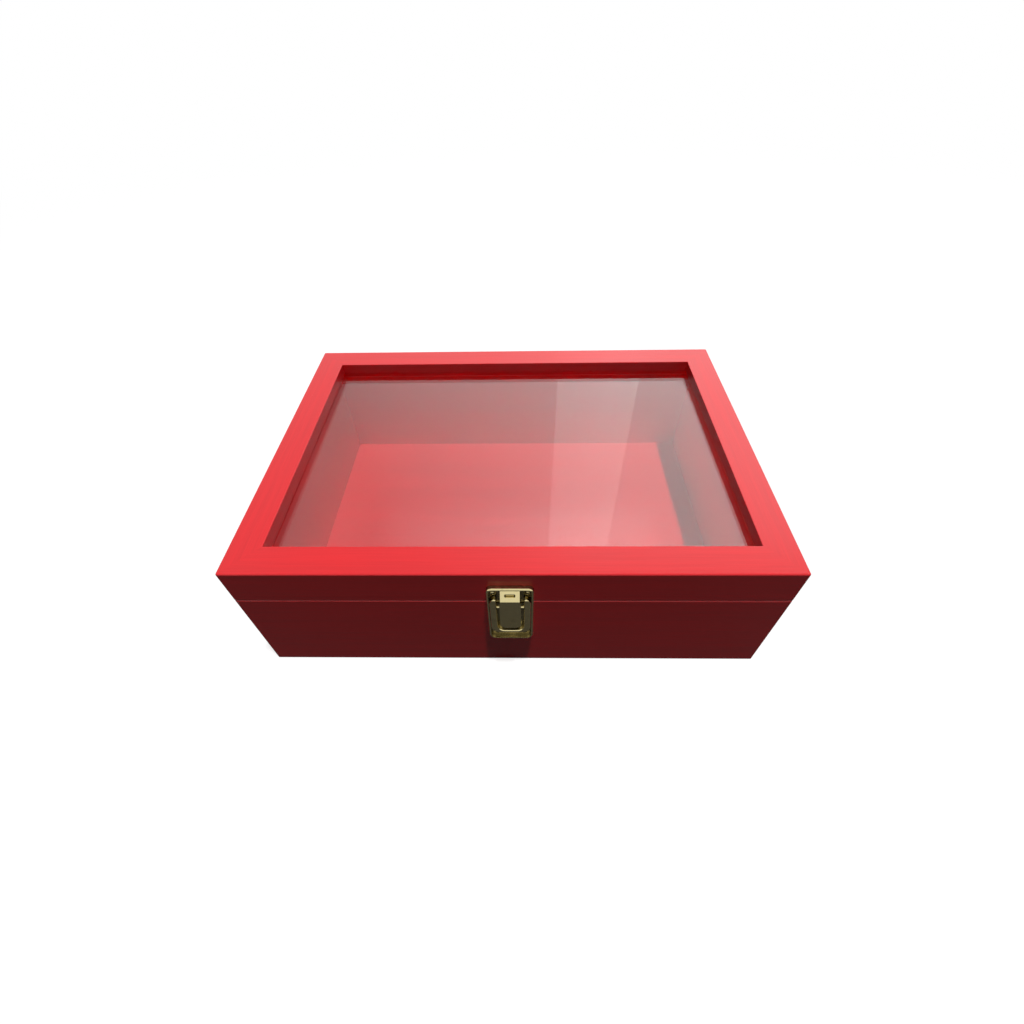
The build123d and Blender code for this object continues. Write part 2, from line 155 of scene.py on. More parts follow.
class Term:
    """A socket that can be used in a sum: each operator adds its Math node to the tree."""

    def __init__(self, graph, socket):
        self.graph = graph
        self.socket = socket

    def _math(self, operation, first, second):
        return self.graph.node("ShaderNodeMath", {"operation": operation}, {0: first, 1: second})

    def __add__(self, other):
        return self._math("ADD", self, other)

    def __radd__(self, other):
        return self._math("ADD", other, self)

    def __sub__(self, other):
        return self._math("SUBTRACT", self, other)

    def __rsub__(self, other):
        return self._math("SUBTRACT", other, self)

    def __mul__(self, other):
        return self._math("MULTIPLY", self, other)

    def __rmul__(self, other):
        return self._math("MULTIPLY", other, self)

    def __truediv__(self, other):
        return self._math("DIVIDE", self, other)

    def __pow__(self, other):
        return self._math("POWER", self, other)

    def __neg__(self):
        return self._math("MULTIPLY", self, -1.0)


class Graph:
    """A node tree in the making, for a material or for a geometry modifier."""

    def __init__(self, tree):
        self.tree = tree

    def node(self, kind, settings=None, values=None, out=0):
        """Add a node, set its settings and then its sockets, and return an output or several."""
        made = self.tree.nodes.new(kind)
        for name, value in (settings or {}).items():
            setattr(made, name, value)
        for name, value in (values or {}).items():
            self._feed(value, made.inputs[name])
        if isinstance(out, tuple):
            return tuple(Term(self, made.outputs[name]) for name in out)
        return Term(self, made.outputs[out]) if made.outputs else None

    def _feed(self, value, socket):
        if isinstance(value, Term):
            self.tree.links.new(value.socket, socket)
        elif isinstance(value, list):
            for part in value:
                self.tree.links.new(part.socket, socket)
        else:
            socket.default_value = value

    def blend(self, share, first, second):
        """A colour between two others."""
        return self.node("ShaderNodeMix", {"data_type": "RGBA"},
                         {0: share, 6: first, 7: second}, out=2)

    def step(self, value, low, high):
        """0 below low, 1 above high and smooth between."""
        return self.node("ShaderNodeMapRange", {"interpolation_type": "SMOOTHSTEP"},
                         {"Value": value, "From Min": low, "From Max": high})

    def larger(self, first, second):
        """The larger of two numbers."""
        return self.node("ShaderNodeMath", {"operation": "MAXIMUM"}, {0: first, 1: second})

    def sum_to_one(self, first, second):
        """The sum of two numbers, at most 1."""
        return self.node("ShaderNodeMath", {"operation": "ADD", "use_clamp": True},
                         {0: first, 1: second})

    def parts_of(self, vector):
        """The three numbers of a vector."""
        return self.node("ShaderNodeSeparateXYZ", values={0: vector}, out=("X", "Y", "Z"))

    def rays(self):
        """1 for a camera ray, a mirrored ray and a ray through glass, each on its own."""
        return self.node("ShaderNodeLightPath", out=(
            "Is Camera Ray", "Is Glossy Ray", "Is Transmission Ray"))


class Finish(Graph):
    """A material in the making, with its Principled shader and its output."""

    def __init__(self, name):
        self.material = bpy.data.materials.new(name)
        self.material.use_nodes = True
        super().__init__(self.material.node_tree)
        self.tree.nodes.clear()

    def place(self, scale=(1.0, 1.0, 1.0), turn=(0.0, 0.0, 0.0)):
        """Object coordinates in metres, scaled and turned."""
        whole = self.node("ShaderNodeTexCoord", out="Object")
        return self.node("ShaderNodeMapping",
                         values={"Vector": whole, "Scale": scale, "Rotation": turn})

    def noise(self, vector, scale, detail=3.0, roughness=0.55):
        """Soft noise from 0 to 1."""
        return self.node("ShaderNodeTexNoise", values={
            "Vector": vector, "Scale": scale, "Detail": detail, "Roughness": roughness})

    def bump(self, height, distance):
        """A normal from a height, where distance is how deep a height of 1 is, in metres."""
        return self.node("ShaderNodeBump", values={
            "Height": height, "Distance": distance, "Strength": 1.0})

    def surface(self, **sockets):
        """The Principled shader, with its sockets given by name."""
        return self.node("ShaderNodeBsdfPrincipled", values={
            name.replace("_", " "): value for name, value in sockets.items()})

    def close(self, shader):
        """Put the shader on the output and return the material."""
        self.node("ShaderNodeOutputMaterial", values={"Surface": shader})
        return self.material


# Finishes


def paint_finish(name, grain, paint):
    """Semi-gloss paint on a board; grain is the axis that the board's fibres follow."""
    f = Finish(name)
    slow = 1 / paint.grain_length
    quick = 1 / paint.grain_width
    stretch = (slow, quick, quick) if grain == "X" else (quick, slow, quick)
    fibres = f.place(scale=stretch)
    broad = f.noise(fibres, scale=0.35, detail=4.0, roughness=0.6)
    fine = f.noise(fibres, scale=1.6, roughness=0.6)
    plain = f.place()
    clouds = f.noise(plain, scale=14.0, detail=2.0)
    ripple = f.noise(plain, scale=420.0, detail=1.0)
    tone = f.step(broad * 0.55 + fine * 0.45, low=0.36, high=0.66)
    colour = f.blend(tone * 0.55 + clouds * 0.45, tuple(paint.shade), tuple(paint.colour))
    specks = f.node("ShaderNodeTexVoronoi", {"feature": "F1"},
                    {"Vector": plain, "Scale": 60.0}, out="Distance")
    dust = 1.0 - f.step(specks, low=0.012, high=0.03)
    colour = f.blend(dust * 0.25, colour, tuple(paint.dust))
    height = tone * 0.5 + fine * 0.35 + ripple * 0.5 + dust * 0.8
    normal = f.bump(height, paint.relief)
    gloss = paint.roughness + clouds * 0.10 + tone * 0.05
    return f.close(f.surface(Base_Color=colour, Roughness=gloss, Normal=normal,
                             Coat_Weight=0.15, Coat_Roughness=0.18))


def glass_finish(name, glass):
    """Clear float glass that lets lamps and bounced light through to what is under it."""
    f = Finish(name)
    plain = f.place()
    wiped = f.place(scale=(1.0, 2.2, 1.0), turn=(0.0, 0.0, 0.5))
    smears = f.noise(wiped, scale=9.0, detail=5.0, roughness=0.6)
    grime = f.step(smears, low=0.5, high=0.8) * f.noise(plain, scale=300.0, detail=2.0)
    pane = f.surface(Base_Color=tuple(glass.tint), Roughness=0.004 + grime * 0.03,
                     Transmission_Weight=1.0, IOR=glass.bend)
    shadow, bounce = f.node("ShaderNodeLightPath", out=("Is Shadow Ray", "Is Diffuse Ray"))
    passed = f.blend(bounce, tuple(glass.let_through), tuple(glass.bounce_through))
    clear = f.node("ShaderNodeBsdfTransparent", values={"Color": passed})
    return f.close(f.node("ShaderNodeMixShader", values={
        0: f.larger(shadow, bounce), 1: pane, 2: clear}))


def brass_finish(name, metal):
    """Brass plating with random tarnish, lightly scratched; painted shade darkens it in the
    recesses and leaves it bright where it stands proud.
    """
    f = Finish(name)
    plain = f.place()
    _, depth, _ = f.parts_of(plain)
    # Painted shade: the deeper a surface lies behind the front of the latch, the more of the dark
    # tarnish colour it gets. The noise patches add random tarnish.
    proud = f.step(FRONT_FACE_Y - depth, low=0.9 * MM, high=2.6 * MM)
    mottle = f.noise(plain, scale=520.0, detail=4.0, roughness=0.65)
    patches = f.noise(plain, scale=170.0, roughness=0.6)
    tarnish_and_recess_shade = patches * 0.6 + mottle * 0.4 + 0.12 - proud * 0.28
    tarnish = f.step(tarnish_and_recess_shade, low=0.36, high=0.62)
    colour = f.blend(tarnish, tuple(metal.colour), tuple(metal.tarnish))
    drawn_out = f.place(scale=(2600.0, 2600.0, 160.0), turn=(0.0, 0.35, 0.0))
    scratches = f.noise(drawn_out, scale=1.0, detail=2.0)
    marks = f.step(scratches, low=0.60, high=0.72)
    rough = metal.roughness + tarnish * 0.08 + marks * 0.06
    normal = f.bump(mottle * 0.5 + patches * 0.8 + marks * 0.3, metal.relief)
    return f.close(f.surface(Base_Color=colour, Metallic=1.0, Roughness=rough, Normal=normal))


def hinge_finish(name, metal):
    """Plain brass strip, rolled along the hinge, with fine draw lines."""
    f = Finish(name)
    lines = f.noise(f.place(scale=(60.0, 3200.0, 3200.0)), scale=1.0)
    patches = f.noise(f.place(), scale=240.0, roughness=0.6)
    tarnish = f.step(patches, low=0.45, high=0.75) * 0.7
    colour = f.blend(tarnish, tuple(metal.colour), tuple(metal.tarnish))
    rough = metal.roughness + lines * 0.12 + tarnish * 0.15
    normal = f.bump(lines + patches * 0.4, metal.relief * 0.5)
    return f.close(f.surface(Base_Color=colour, Metallic=1.0, Roughness=rough, Normal=normal))


def steel_finish(name, metal):
    """Drawn spring wire, slightly blued."""
    f = Finish(name)
    patches = f.noise(f.place(), scale=900.0, roughness=0.6)
    colour = f.blend(patches, tuple(metal.steel), tuple(metal.steel_shade))
    normal = f.bump(patches, metal.relief * 0.3)
    return f.close(f.surface(Base_Color=colour, Metallic=1.0,
                             Roughness=0.22 + patches * 0.14, Normal=normal))


def floor_finish(name, stage):
    """A white floor that keeps the shadow near the box; to bounced light it is darker."""
    f = Finish(name)
    camera, mirror, through = f.rays()
    plain = f.place()
    x, y, _ = f.parts_of(plain)
    distance = (x * x + y * y) ** 0.5
    far = f.step(distance, low=stage.shadow_reach * SHADOW_KEPT_SHARE, high=stage.shadow_reach)
    mirrored = mirror * (far + (1.0 - far) * stage.floor_in_gloss)
    seen = f.sum_to_one(camera + mirrored, through)
    worn = f.noise(plain, scale=3.0, detail=2.0)
    pale = f.blend(worn * 0.04, tuple(stage.floor), WORN_FLOOR)
    pale = f.blend(far, pale, BLACK)
    white = f.blend(far, tuple(stage.floor_lift), WHITE)
    colour = f.blend(seen, tuple(stage.floor_to_bounce), pale)
    lift = f.blend(seen, BLACK, white)
    return f.close(f.surface(Base_Color=colour, Roughness=0.9, Emission_Color=lift,
                             Emission_Strength=1.0, Specular_IOR_Level=0.0))


# Meshes


def add_object(name, mesh):
    """A new object at the origin that shows a mesh."""
    made = bpy.data.objects.new(name, mesh)
    bpy.context.scene.collection.objects.link(made)
    return made


def dress(names, material):
    """Give CAD nodes a finish."""
    for name in names:
        node = frame["nodes"][name]
        node.data.materials.clear()
        node.data.materials.append(material)


def freeze(made, material):
    """Turn what the modifiers make into the object's own mesh, and remove them."""
    graph = bpy.context.evaluated_depsgraph_get()
    mesh = bpy.data.meshes.new_from_object(made.evaluated_get(graph))
    made.modifiers.clear()
    made.data = mesh
    mesh.name = made.name
    mesh.materials.clear()
    mesh.materials.append(material)
    if not mesh.polygons:
        raise RuntimeError(f"{made.name} has no faces")


def softened(node, name, edge, material):
    """A copy of a CAD node with finely rounded edges and flat faces; it takes the node's place."""
    source = frame["nodes"][node]
    mesh = source.data.copy()
    shape = bmesh.new()
    shape.from_mesh(mesh)
    bmesh.ops.remove_doubles(shape, verts=shape.verts, dist=MERGE_DISTANCE)
    bmesh.ops.dissolve_limit(shape, angle_limit=FLAT_ANGLE, verts=shape.verts, edges=shape.edges)
    shape.to_mesh(mesh)
    shape.free()
    made = add_object(name, mesh)
    bevel = made.modifiers.new("edge", "BEVEL")
    bevel.width = edge
    bevel.segments = EDGE_SEGMENTS
    bevel.limit_method = "ANGLE"
    bevel.angle_limit = HARD_EDGE
    bevel.use_clamp_overlap = True
    freeze(made, material)
    made.data.set_sharp_from_angle(angle=HARD_EDGE)
    flats = made.modifiers.new("flats", "WEIGHTED_NORMAL")
    flats.keep_sharp = True
    flats.weight = 100
    freeze(made, material)
    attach(made, source["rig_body"])
    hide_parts(node)


def solid_boxes(node):
    """The lowest and highest corner of each separate solid in a CAD node, from left to right."""
    shape = bmesh.new()
    shape.from_mesh(frame["nodes"][node].data)
    bmesh.ops.remove_doubles(shape, verts=shape.verts, dist=MERGE_DISTANCE)
    left = set(shape.verts)
    boxes = []
    while left:
        group = [left.pop()]
        for vert in group:
            for edge in vert.link_edges:
                other = edge.other_vert(vert)
                if other in left:
                    left.remove(other)
                    group.append(other)
        corners = [vert.co.copy() for vert in group]
        boxes.append((Vector(map(min, zip(*corners))), Vector(map(max, zip(*corners)))))
    shape.free()
    return sorted(boxes, key=lambda pair: pair[0].x)


# Geometry Nodes


class Shape(Graph):
    """A geometry node tree in the making, with named inputs for its sizes."""

    def __init__(self, name):
        super().__init__(bpy.data.node_groups.new(name, "GeometryNodeTree"))
        self.names = {}
        self.tree.interface.new_socket("Geometry", in_out="OUTPUT",
                                       socket_type="NodeSocketGeometry")
        self._add_input("Geometry", "NodeSocketGeometry")

    def _add_input(self, name, kind):
        socket = self.tree.interface.new_socket(name, in_out="INPUT", socket_type=kind)
        self.names[name] = socket.identifier

    def open(self, floats=(), whole=(), vectors=()):
        """Add the named inputs and return a dictionary of their sockets."""
        for name in floats:
            self._add_input(name, "NodeSocketFloat")
        for name in whole:
            self._add_input(name, "NodeSocketInt")
        for name in vectors:
            self._add_input(name, "NodeSocketVector")
        self._add_input("Material", "NodeSocketMaterial")
        outs = self.node("NodeGroupInput", out=tuple(self.names))
        return dict(zip(self.names, outs))

    def close(self, geometry, material):
        """End the tree in Realize Instances and Set Material."""
        real = self.node("GeometryNodeRealizeInstances", values={"Geometry": geometry})
        finished = self.node("GeometryNodeSetMaterial",
                             values={"Geometry": real, "Material": material})
        self.node("NodeGroupOutput", values={0: finished})

    def vector(self, x, y, z):
        """A vector from three numbers."""
        return self.node("ShaderNodeCombineXYZ", values={0: x, 1: y, 2: z})

    def lifted(self, geometry, height):
        """Geometry moved along Z."""
        return self.node("GeometryNodeTransform", values={
            "Geometry": geometry, "Translation": self.vector(0.0, 0.0, height)})

    def joined(self, *geometry):
        """Several geometries as one."""
        return self.node("GeometryNodeJoinGeometry", values={0: list(geometry)})

    def tube(self, curve, radius, corners):
        """A closed tube along a curve."""
        profile = self.node("GeometryNodeCurvePrimitiveCircle",
                            values={"Resolution": corners, "Radius": radius}, out="Curve")
        return self.node("GeometryNodeCurveToMesh", values={
            "Curve": curve, "Profile Curve": profile, "Fill Caps": True})


def run_shape(made, shape, material, values):
    """Run a geometry tree on an object with its input values, and keep the result as a mesh."""
    modifier = made.modifiers.new("shape", "NODES")
    modifier.node_group = shape.tree
    for name, value in values.items():
        modifier[shape.names[name]] = value
    modifier[shape.names["Material"]] = material
    freeze(made, material)


def screw_shape(name, domed):
    """Slotted wood screws on points; the head is domed, or flat and countersunk."""
    g = Shape(name)
    size = g.open(floats=("Head Radius", "Head Height", "Slot Width", "Slot Depth",
                          "Shank Radius", "Length", "Thread Pitch", "Thread Depth"),
                  whole=("Sides",), vectors=("Outward",))
    radius = size["Head Radius"]
    height = size["Head Height"]
    if domed:
        ball = g.node("GeometryNodeMeshUVSphere", values={
            "Segments": size["Sides"], "Rings": DOME_RINGS, "Radius": 1.0}, out="Mesh")
        x, y, z = g.parts_of(g.node("GeometryNodeInputPosition"))
        dome = g.larger(z, 0.0) ** DOME_FULLNESS
        head = g.node("GeometryNodeSetPosition", values={
            "Geometry": ball, "Position": g.vector(x * radius, y * radius, dome * height)})
        top = height
    else:
        cone = g.node("GeometryNodeMeshCone", values={
            "Vertices": size["Sides"], "Side Segments": 3, "Fill Segments": 3,
            "Radius Top": radius, "Radius Bottom": size["Shank Radius"],
            "Depth": height}, out="Mesh")
        head = g.lifted(cone, -height)
        top = 0.0
    bar = g.node("GeometryNodeMeshCube", values={
        "Size": g.vector(radius * 4.0, size["Slot Width"], size["Slot Depth"] * 2.0)}, out="Mesh")
    head = g.node("GeometryNodeMeshBoolean", {"operation": "DIFFERENCE", "solver": "EXACT"}, {
        "Mesh 1": head, "Mesh 2": g.lifted(bar, top)}, out="Mesh")
    tip = size["Shank Radius"] * POINT_IN_SHANK_RADII
    root = size["Shank Radius"] - size["Thread Depth"]
    neck = size["Length"] - tip
    core = g.node("GeometryNodeMeshCylinder", values={
        "Vertices": SHANK_SIDES, "Radius": root, "Depth": neck}, out="Mesh")
    point = g.node("GeometryNodeMeshCone", values={
        "Vertices": SHANK_SIDES, "Radius Top": root, "Radius Bottom": 0.0, "Depth": tip},
        out="Mesh")
    threaded = neck * THREADED_SHARE
    helix = g.node("GeometryNodeCurveSpiral", values={
        "Resolution": THREAD_STEPS, "Rotations": threaded / size["Thread Pitch"],
        "Start Radius": root, "End Radius": root, "Height": threaded})
    thread = g.tube(helix, size["Thread Depth"], THREAD_SIDES)
    whole = g.joined(head, g.lifted(core, neck * -0.5), g.lifted(point, -size["Length"]),
                     g.lifted(thread, -neck))
    turn = g.node("GeometryNodeInputNamedAttribute", {"data_type": "FLOAT"}, {"Name": "turn"})
    aim = g.node("FunctionNodeAlignRotationToVector", {"axis": "Z"}, {"Vector": size["Outward"]})
    spin = g.node("FunctionNodeAxisAngleToRotation", values={"Axis": (0.0, 0.0, 1.0),
                                                             "Angle": turn})
    rotation = g.node("FunctionNodeRotateRotation", {"rotation_space": "LOCAL"},
                      {"Rotation": aim, "Rotate By": spin})
    placed = g.node("GeometryNodeInstanceOnPoints", values={
        "Points": size["Geometry"], "Instance": whole, "Rotation": rotation})
    g.close(placed, size["Material"])
    return g


def screw_points(name, places, turns):
    """An object with one vertex for each screw and the turn of its slot."""
    mesh = bpy.data.meshes.new(name)
    mesh.from_pydata([tuple(place) for place in places], [], [])
    turn = mesh.attributes.new("turn", "FLOAT", "POINT")
    for index, angle in enumerate(turns):
        turn.data[index].value = angle
    return add_object(name, mesh)


def spring_shape():
    """A torsion spring of round wire: its coil on Z, with a straight leg at either end."""
    g = Shape("torsion spring")
    size = g.open(floats=("Wire Radius", "Coil Radius", "Turns", "Pitch", "First Leg",
                          "Second Leg"))
    rise = size["Turns"] * size["Pitch"]
    radius = size["Coil Radius"]
    coil = g.node("GeometryNodeCurveSpiral", values={
        "Resolution": COIL_STEPS, "Rotations": size["Turns"], "Start Radius": radius,
        "End Radius": radius, "Height": rise})
    around = radius * (2 * math.pi)
    length = (around * around + size["Pitch"] * size["Pitch"]) ** 0.5
    run = around / length
    climb = size["Pitch"] / length
    first = g.node("GeometryNodeCurvePrimitiveLine", values={
        "Start": g.vector(radius, -run * size["First Leg"], -climb * size["First Leg"]),
        "End": g.vector(radius, 0.0, 0.0)})
    second = g.node("GeometryNodeCurvePrimitiveLine", values={
        "Start": g.vector(-radius, 0.0, rise),
        "End": g.vector(-radius, -run * size["Second Leg"], rise + climb * size["Second Leg"])})
    tubes = [g.tube(curve, size["Wire Radius"], WIRE_SIDES) for curve in (coil, first, second)]
    g.close(g.joined(*tubes), size["Material"])
    return g


# Settings


class PaintSettings(bpy.types.PropertyGroup):
    """The red paint on the wood."""

    colour: FloatVectorProperty(
        name="Paint", description="Colour of the paint where it lies thick", subtype="COLOR",
        size=4, min=0.0, max=1.0, default=(0.78, 0.014, 0.020, 1.0))
    shade: FloatVectorProperty(
        name="Grain shade", description="Colour of the paint over open grain", subtype="COLOR",
        size=4, min=0.0, max=1.0, default=(0.66, 0.008, 0.013, 1.0))
    dust: FloatVectorProperty(
        name="Specks", description="Colour of the few specks in the paint", subtype="COLOR",
        size=4, min=0.0, max=1.0, default=(0.86, 0.18, 0.18, 1.0))
    roughness: FloatProperty(
        name="Roughness", description="How dull the paint is", default=0.27, min=0.0, max=1.0)
    grain_length: FloatProperty(
        name="Grain length", description="How long a streak of grain runs", default=0.06,
        min=0.001, unit="LENGTH")
    grain_width: FloatProperty(
        name="Grain width", description="How wide a streak of grain is", default=0.0016,
        min=0.0001, unit="LENGTH")
    relief: FloatProperty(
        name="Relief", description="Depth of the grain under the paint", default=0.000035,
        min=0.0, unit="LENGTH")


class GlassSettings(bpy.types.PropertyGroup):
    """The pane in the lid."""

    tint: FloatVectorProperty(
        name="Tint", description="Colour of the glass", subtype="COLOR", size=4,
        min=0.0, max=1.0, default=(0.975, 0.99, 0.982, 1.0))
    let_through: FloatVectorProperty(
        name="Let through", description="Share of lamp light that the pane lets through",
        subtype="COLOR", size=4, min=0.0, max=1.0, default=(0.84, 0.86, 0.85, 1.0))
    bounce_through: FloatVectorProperty(
        name="Bounce through", description="Share of slanting bounced light let through",
        subtype="COLOR", size=4, min=0.0, max=1.0, default=(0.55, 0.57, 0.56, 1.0))
    bend: FloatProperty(
        name="Index", description="Refractive index of the glass", default=1.5, min=1.0, max=2.0)


class MetalSettings(bpy.types.PropertyGroup):
    """The brass of the latch and hinges, and the steel of the spring."""

    colour: FloatVectorProperty(
        name="Brass", description="Colour of clean brass plating", subtype="COLOR", size=4,
        min=0.0, max=1.0, default=(0.70, 0.60, 0.31, 1.0))
    # On the latch and its screws this colour is also painted in as shade in the recesses.
    tarnish: FloatVectorProperty(
        name="Tarnish", description="Colour of the brass where it has dulled", subtype="COLOR",
        size=4, min=0.0, max=1.0, default=(0.26, 0.22, 0.11, 1.0))
    steel: FloatVectorProperty(
        name="Steel", description="Colour of the spring wire", subtype="COLOR", size=4,
        min=0.0, max=1.0, default=(0.55, 0.56, 0.58, 1.0))
    steel_shade: FloatVectorProperty(
        name="Steel shade", description="Colour of the wire where it is blued", subtype="COLOR",
        size=4, min=0.0, max=1.0, default=(0.30, 0.31, 0.35, 1.0))
    roughness: FloatProperty(
        name="Roughness", description="How dull the brass is", default=0.16, min=0.0, max=1.0)
    relief: FloatProperty(
        name="Relief", description="Depth of the marks in the metal", default=0.00002,
        min=0.0, unit="LENGTH")
    plate_edge: FloatProperty(
        name="Plate edge", description="Rounding on the edges of the stamped latch",
        default=0.00022, min=0.0, unit="LENGTH")
    leaf_edge: FloatProperty(
        name="Leaf edge", description="Rounding on the edges of the hinge leaves",
        default=0.0001, min=0.0, unit="LENGTH")


class ScrewSettings(bpy.types.PropertyGroup):
    """The slotted wood screws."""

    slot_width: FloatProperty(
        name="Slot width", description="Width of the driver slot", default=0.0005, min=0.0,
        unit="LENGTH")
    slot_depth: FloatProperty(
        name="Slot depth", description="Depth of the driver slot", default=0.00055, min=0.0,
        unit="LENGTH")
    upper_dome: FloatProperty(
        name="Upper dome", description="Height of an upper latch screw's head", default=0.0011,
        min=0.0, unit="LENGTH")
    lower_dome: FloatProperty(
        name="Lower dome", description="Height of a lower latch screw's head", default=0.0007,
        min=0.0, unit="LENGTH")
    latch_shank: FloatProperty(
        name="Latch shank", description="Radius of a latch screw's shank", default=0.00095,
        min=0.0, unit="LENGTH")
    latch_thread: FloatProperty(
        name="Latch thread", description="Depth of a latch screw's thread", default=0.00018,
        min=0.0, unit="LENGTH")
    hinge_head: FloatProperty(
        name="Hinge head", description="Radius of a hinge screw's head", default=0.00135,
        min=0.0, unit="LENGTH")
    hinge_thread: FloatProperty(
        name="Hinge thread", description="Depth of a hinge screw's thread", default=0.00012,
        min=0.0, unit="LENGTH")
    thread_pitch: FloatProperty(
        name="Thread pitch", description="Rise of the thread in a turn", default=0.0007,
        min=0.0001, unit="LENGTH")
    sides: IntProperty(
        name="Sides", description="Faces round a screw's head", default=40, min=8, max=96)


class SpringSettings(bpy.types.PropertyGroup):
    """The spring that presses the latch lever home."""

    wire: FloatProperty(
        name="Wire radius", description="Radius of the wire", default=0.0002, min=0.0,
        unit="LENGTH")
    coil: FloatProperty(
        name="Coil radius", description="Radius of the coil at the middle of the wire",
        default=0.00115, min=0.0, unit="LENGTH")
    turns: FloatProperty(
        name="Turns", description="How often the wire goes round the pin", default=4.5, min=1.0)
    pitch: FloatProperty(
        name="Pitch", description="Rise of the coil in a turn", default=0.00095, min=0.0,
        unit="LENGTH")
    first_leg: FloatProperty(
        name="Plate leg", description="Length of the leg on the plate", default=0.009, min=0.0,
        unit="LENGTH")
    second_leg: FloatProperty(
        name="Lever leg", description="Length of the leg behind the lever", default=0.013,
        min=0.0, unit="LENGTH")


class StageSettings(bpy.types.PropertyGroup):
    """The floor, lamps and camera."""

    floor: FloatVectorProperty(
        name="Floor", description="Colour of the floor", subtype="COLOR", size=4,
        min=0.0, max=1.0, default=(0.22, 0.22, 0.22, 1.0))
    floor_to_bounce: FloatVectorProperty(
        name="Floor in bounced light", description="How bright the floor is to bounced light",
        subtype="COLOR", size=4, min=0.0, max=1.0, default=(0.06, 0.06, 0.06, 1.0))
    floor_lift: FloatVectorProperty(
        name="Floor lift", description="Light added to the floor where it is seen",
        subtype="COLOR", size=4, min=0.0, max=1.0, default=(0.83, 0.83, 0.83, 1.0))
    shadow_reach: FloatProperty(
        name="Shadow reach", description="Distance at which the floor turns to plain white",
        default=1.4, min=0.1, unit="LENGTH")
    floor_in_gloss: FloatProperty(
        name="Floor in gloss", description="How bright the floor beside the box is in its gloss",
        default=0.02, min=0.0, max=1.0)
    floor_size: FloatProperty(
        name="Floor size", description="Side of the square floor", default=30.0, min=1.0,
        unit="LENGTH")
    sky: FloatProperty(
        name="Surroundings", description="Brightness of the room to bounced light",
        default=0.03, min=0.0)
    top_light: FloatProperty(
        name="Top light", description="Share of full light from the lamp overhead",
        default=0.72, min=0.0)
    back_light: FloatProperty(
        name="Back light", description="Brightness of the wide panel behind the box",
        default=0.95, min=0.0)
    strip_light: FloatProperty(
        name="Strip light", description="Brightness of the narrow panel behind the box",
        default=0.42, min=0.0)
    camera_place: FloatVectorProperty(
        name="Camera place", description="Where the camera stands", subtype="XYZ",
        unit="LENGTH", default=(0.00746, -0.26685, 0.31358))
    camera_turn: FloatProperty(
        name="Camera turn", description="Heading of the camera", subtype="ANGLE",
        unit="ROTATION", default=math.radians(1.9))
    camera_tilt: FloatProperty(
        name="Camera tilt", description="How far the camera looks down", subtype="ANGLE",
        unit="ROTATION", default=math.radians(47.65))
    camera_roll: FloatProperty(
        name="Camera roll", description="How far the camera leans to its right",
        subtype="ANGLE", unit="ROTATION", default=math.radians(1.565))
    lens: FloatProperty(
        name="Lens", description="Focal length on a 36 mm sensor, in millimetres",
        default=17.748, min=1.0)


class BoxSettings(bpy.types.PropertyGroup):
    """All settings of the display box."""

    paint: PointerProperty(type=PaintSettings)
    glass: PointerProperty(type=GlassSettings)
    metal: PointerProperty(type=MetalSettings)
    screws: PointerProperty(type=ScrewSettings)
    spring: PointerProperty(type=SpringSettings)
    stage: PointerProperty(type=StageSettings)


# Operators


class DISPLAYBOX_OT_paint(bpy.types.Operator):
    """Paint the boards, rails, beads and the bottom panel."""

    bl_idname = "displaybox.paint"
    bl_label = "Paint the Wood"

    def execute(self, context):
        paint = context.scene.display_box.paint
        dress(ALONG_X, paint_finish("red paint, grain along X", "X", paint))
        dress(ALONG_Y, paint_finish("red paint, grain along Y", "Y", paint))
        dress(["bottom_panel"], paint_finish("red paint, panel", "X", paint))
        return {"FINISHED"}


class DISPLAYBOX_OT_glaze(bpy.types.Operator):
    """Put glass in the lid."""

    bl_idname = "displaybox.glaze"
    bl_label = "Glaze the Lid"

    def execute(self, context):
        dress(["glass_pane"], glass_finish("clear glass", context.scene.display_box.glass))
        return {"FINISHED"}


class DISPLAYBOX_OT_latch(bpy.types.Operator):
    """Make the stamped latch plates, the press lever and its pin."""

    bl_idname = "displaybox.latch"
    bl_label = "Make the Latch"

    def execute(self, context):
        metal = context.scene.display_box.metal
        brass = brass_finish("latch brass", metal)
        for node in ("latch_plate", "strike_plate", "latch_lever"):
            softened(node, node + "_stamped", metal.plate_edge, brass)
        softened("latch_pin", "latch_pin_staked", metal.plate_edge, brass)
        return {"FINISHED"}


class DISPLAYBOX_OT_spring(bpy.types.Operator):
    """Wind the latch spring round the pin."""

    bl_idname = "displaybox.spring"
    bl_label = "Wind the Spring"

    def execute(self, context):
        box = context.scene.display_box
        spring = box.spring
        steel = steel_finish("spring wire", box.metal)
        made = add_object("latch_spring_wire", bpy.data.meshes.new("latch_spring_wire"))
        run_shape(made, spring_shape(), steel, {
            "Wire Radius": spring.wire, "Coil Radius": spring.coil, "Turns": spring.turns,
            "Pitch": spring.pitch, "First Leg": spring.first_leg,
            "Second Leg": spring.second_leg})
        coil_end = spring.turns * spring.pitch / 2
        middle = Matrix.Translation((0, 0, -coil_end))
        on_side = Matrix.Rotation(math.radians(90), 4, "Y")
        on_front = Matrix.Rotation(math.radians(90), 4, "X")
        made.data.transform(Matrix.Translation(PIN_CENTRE) @ on_front @ on_side @ middle)
        made.data.set_sharp_from_angle(angle=WIRE_END_EDGE)
        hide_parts("latch_spring")
        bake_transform(made)
        return {"FINISHED"}


